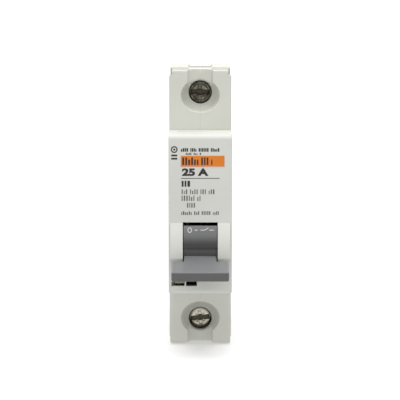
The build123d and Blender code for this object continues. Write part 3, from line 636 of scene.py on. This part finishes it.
def screw(name, node, slot_angle, ring_depth, slot, body):
    """Terminal screw: domed head with slot, cross, ticks and a turned ring, and a threaded shank."""
    low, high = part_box(node)
    centre_z = (low.z + high.z) / 2 / MM
    head_y = low.y / MM
    tip_y = high.y / MM
    turn = Matrix.Rotation(radians(slot_angle), 4, "Y")
    bm = bmesh.new()

    def at(u, depth, v):
        spot = turn @ Vector((u, 0, v))
        return Vector((spot.x * MM, (head_y + depth) * MM, (centre_z + spot.z) * MM))

    half = int(HEAD_R / GRID_STEP) + 1
    grid = {}
    for i in range(-half, half + 1):
        for j in range(-half, half + 1):
            u, v = i * GRID_STEP, j * GRID_STEP
            r = hypot(u, v)
            if r > HEAD_R + GRID_STEP * 0.45:
                continue
            if r > HEAD_R - GRID_STEP * 0.55:
                u, v = u * HEAD_R / r, v * HEAD_R / r
            grid[(i, j)] = bm.verts.new(at(u, head_height(u, v, ring_depth) + 0.02, v))
    for i, j in grid:
        corners = [(i, j), (i + 1, j), (i + 1, j + 1), (i, j + 1)]
        held = [grid[c] for c in corners if c in grid]
        if len(held) >= 3:
            bm.faces.new(held)
    rim = [e for e in bm.edges if e.is_boundary]
    wall = bmesh.ops.extrude_edge_only(bm, edges=rim)["geom"]
    ring = [v for v in wall if isinstance(v, bmesh.types.BMVert)]
    for v in ring:
        v.co.y = (head_y + HEAD_DEPTH) * MM
    loops = shank_loops(bm, at, HEAD_DEPTH, tip_y - head_y)
    bridge_flat(bm, ring, loops[0], at, HEAD_DEPTH)
    piece = piece_from(bm, name, slot, body)
    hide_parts(node)
    return piece


def shank_loops(bm, at, start, end):
    """Threaded shank from start to end below the crown, closed at the tip."""
    around = 40
    steps = int((end - start) / (THREAD_PITCH / THREAD_STEPS))
    loops = []
    for k in range(steps + 1):
        depth = start + (end - start) * k / steps
        ring = []
        for s in range(around):
            angle = 2 * pi * s / around
            phase = (depth / THREAD_PITCH - angle / (2 * pi)) % 1.0
            tooth = abs(phase - 0.5) * 2
            radius = SHANK_R - 0.03 - THREAD_DEPTH * (1 - tooth)
            radius -= 0.5 * ramp(depth, end - 0.7, end)
            if k == 0:
                radius = SHANK_R - THREAD_DEPTH
            ring.append(bm.verts.new(at(radius * cos(angle), depth, radius * sin(angle))))
        loops.append(ring)
    for lower, upper in zip(loops, loops[1:]):
        for s in range(around):
            t = (s + 1) % around
            bm.faces.new((lower[s], lower[t], upper[t], upper[s]))
    bm.faces.new(loops[-1])
    return loops


def bridge_flat(bm, outer, inner, at, depth):
    """Flat underside between the head's wall and the shank, with the shank's ring as its hole."""
    centre = at(0, depth, 0)

    def angle(v):
        return atan2(v.co.z - centre.z, v.co.x - centre.x)

    outer = sorted(outer, key=angle)
    inner = sorted(inner, key=angle)
    edges = []
    for ring in (outer, inner):
        for a, b in zip(ring, ring[1:] + ring[:1]):
            found = bm.edges.get((a, b))
            edges.append(found if found else bm.edges.new((a, b)))
    bmesh.ops.bridge_loops(bm, edges=edges)


screw("upper_screw_detailed", "upper_terminal_screw", 1, 0.45, "tarnished_nickel", "upper_screw")
screw("lower_screw_detailed", "lower_terminal_screw", -6, 0.0, "nickel", "lower_screw")

# ================================================================ pieces that give with a joint


def soft_copy(name, node):
    """Copy of a CAD node that may change shape, in that node's place."""
    source = NODES[node]
    mesh = source.data.copy()
    mesh.transform(source.matrix_world)
    piece = bpy.data.objects.new(name, mesh)
    bpy.context.scene.collection.objects.link(piece)
    paint(piece, SLOTS[node])
    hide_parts(node)
    return piece


plunger_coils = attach(soft_copy("plunger_spring_coils", "plunger_spring"), "case")
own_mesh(plunger_coils)
braid = soft_copy("flexible_braid_strands", "flexible_braid")
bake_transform(braid)

# ================================================================ stage, light and camera

FLOOR_GLOW = 0.17
BACKDROP_GLOW = 0.6
GLOW_Y = (0.02, 0.7)  # the floor's glow grows between these
SKY_BELOW = 0.81
SKY_ABOVE = 0.79
SKY_SPAN = (-0.5, 0.5)
OVERHEAD_SPOT = (0, -0.12, 0.75)
OVERHEAD_SIZE = (0.7, 0.5)
OVERHEAD_POWER = 3.6


def stage_floor():
    """Pale floor that curves up far behind the object."""
    bm = bmesh.new()
    half = 2.5
    profile = [(-1.5, 0.0)] + [(0.3 + i * 0.3, 0.0) for i in range(5)]
    radius = 1.0
    for i in range(1, 13):
        angle = radians(90 * i / 12)
        profile.append((1.5 + radius * sin(angle), radius * (1 - cos(angle))))
    profile.append((2.5, 3.0))
    rows = [[bm.verts.new((x, y, z)) for x in (-half, half)] for y, z in profile]
    for a, b in zip(rows, rows[1:]):
        bm.faces.new((a[0], a[1], b[1], b[0]))
    mesh = bpy.data.meshes.new("floor")
    bm.to_mesh(mesh)
    bm.free()
    mesh.shade_smooth()
    floor = bpy.data.objects.new("floor", mesh)
    bpy.context.scene.collection.objects.link(floor)
    f = Finish("floor_white")
    tone = f.mix(f.span(f.noise(300, 2), 0.3, 0.7), (0.90, 0.90, 0.90), (0.88, 0.88, 0.88))
    mesh.materials.append(f.finish(tone, 0.8, f.height(f.noise(2, 2), 0.01, 0.2), specular=0.1))
    f.shader.inputs["Emission Color"].default_value = (1, 1, 1, 1)
    depth = f.add("ShaderNodeSeparateXYZ", {0: f.place}).outputs["Y"]
    f.put(f.shader.inputs["Emission Strength"], f.span(depth, *GLOW_Y, FLOOR_GLOW, BACKDROP_GLOW))
    floor.visible_diffuse = False


def area_light(name, spot, target, size, power):
    data = bpy.data.lights.new(name, "AREA")
    data.shape = "RECTANGLE"
    data.size, data.size_y = size
    data.energy = power
    lamp = bpy.data.objects.new(name, data)
    lamp.location = spot
    lamp.rotation_euler = (Vector(target) - Vector(spot)).to_track_quat("-Z", "Y").to_euler()
    bpy.context.scene.collection.objects.link(lamp)


def studio_light():
    """White surround, brighter above than below, with one large soft light overhead."""
    world = bpy.data.worlds.new("studio")
    bpy.context.scene.world = world
    world.use_nodes = True
    tree = world.node_tree
    aim = tree.nodes.new("ShaderNodeTexCoord")
    parts = tree.nodes.new("ShaderNodeSeparateXYZ")
    level = tree.nodes.new("ShaderNodeMapRange")
    level.interpolation_type = "SMOOTHSTEP"
    for key, value in {1: SKY_SPAN[0], 2: SKY_SPAN[1], 3: SKY_BELOW, 4: SKY_ABOVE}.items():
        level.inputs[key].default_value = value
    tree.links.new(aim.outputs["Generated"], parts.inputs[0])
    tree.links.new(parts.outputs["Z"], level.inputs[0])
    tree.links.new(level.outputs[0], tree.nodes["Background"].inputs["Strength"])
    tree.nodes["Background"].inputs["Color"].default_value = (1, 1, 1, 1)
    area_light("overhead", OVERHEAD_SPOT, (0, 0, 0.04), OVERHEAD_SIZE, OVERHEAD_POWER)


CAMERA_SPOT = (0, -0.459, 0.0959)
CAMERA_TILT = 83.26  # degrees from straight down
LENS_MM = 140.7
SHIFT_X = -0.0006


def camera():
    """Long lens in front of the nose, a little above the top end."""
    data = bpy.data.cameras.new("camera")
    data.sensor_width = 36
    data.lens = LENS_MM
    data.shift_x = SHIFT_X
    data.clip_start = 0.01
    data.clip_end = 50
    made = bpy.data.objects.new("camera", data)
    made.location = CAMERA_SPOT
    made.rotation_euler = (radians(CAMERA_TILT), 0, 0)
    bpy.context.scene.collection.objects.link(made)
    bpy.context.scene.camera = made


stage_floor()
studio_light()
camera()
bpy.context.scene.view_settings.view_transform = "Standard"
bpy.context.view_layer.update()
